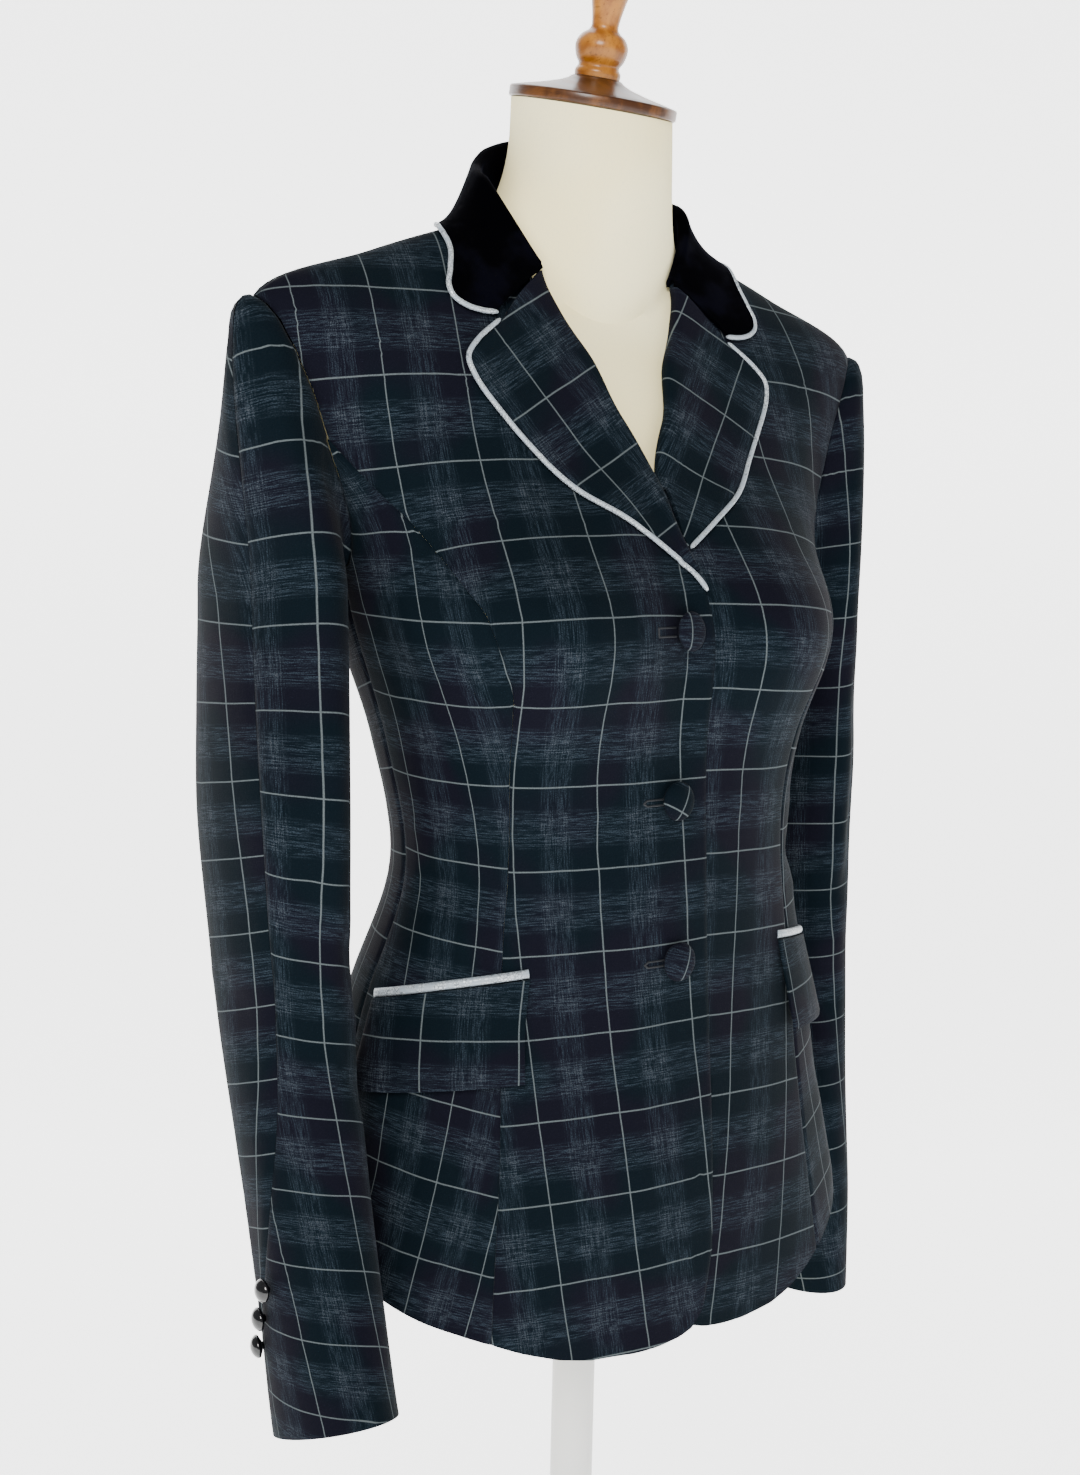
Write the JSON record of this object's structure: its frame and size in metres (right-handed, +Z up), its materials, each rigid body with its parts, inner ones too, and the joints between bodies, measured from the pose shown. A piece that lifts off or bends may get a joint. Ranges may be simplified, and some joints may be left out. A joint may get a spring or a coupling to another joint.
{
  "type": "equestrian show coat on a limbless dress form stand",
  "caption": "Fitted riding show coat in shadow check with velvet collar, piped lapels and pocket flaps, buttoned on a limbless dress form with a pole and round base.",
  "frame": {"origin": "centre of the base's underside, on the floor", "axes": "+Z up, the coat faces -Y, +X towards the wearer's left"},
  "size_m": [0.4716, 0.34, 1.5066],
  "materials": {
    "check_cloth": "matte wool check, near-black green with grey windowpane lines",
    "velvet": "black velvet",
    "satin": "pale grey-blue satin",
    "button_gloss": "glossy black",
    "jersey": "cream jersey",
    "walnut": "varnished brown",
    "oak": "varnished honey",
    "base_paint": "satin paint"
  },
  "bodies": {
    "root": {"front_right": "check_cloth", "front_left": "check_cloth", "side_front_right": "check_cloth", "side_front_left": "check_cloth", "back_right": "check_cloth", "back_left": "check_cloth", "sleeve_front_right": "check_cloth", "sleeve_front_left": "check_cloth", "sleeve_back_right": "check_cloth", "sleeve_back_left": "check_cloth", "lapel_right": "check_cloth", "lapel_left": "check_cloth", "collar": "velvet", "collar_piping": "satin", "lapel_piping_right": "satin", "lapel_piping_left": "satin", "flap_right": "check_cloth", "flap_left": "check_cloth", "flap_strip_right": "satin", "flap_strip_left": "satin", "button_top": "check_cloth", "button_middle": "check_cloth", "button_lower": "check_cloth", "cuff_button_right_1": "button_gloss", "cuff_button_right_2": "button_gloss", "cuff_button_right_3": "button_gloss", "cuff_button_left_1": "button_gloss", "cuff_button_left_2": "button_gloss", "cuff_button_left_3": "button_gloss", "form": "jersey", "neck_cap": "walnut", "finial": "oak", "pole": "base_paint", "base": "base_paint"}
  },
  "joints": []
}
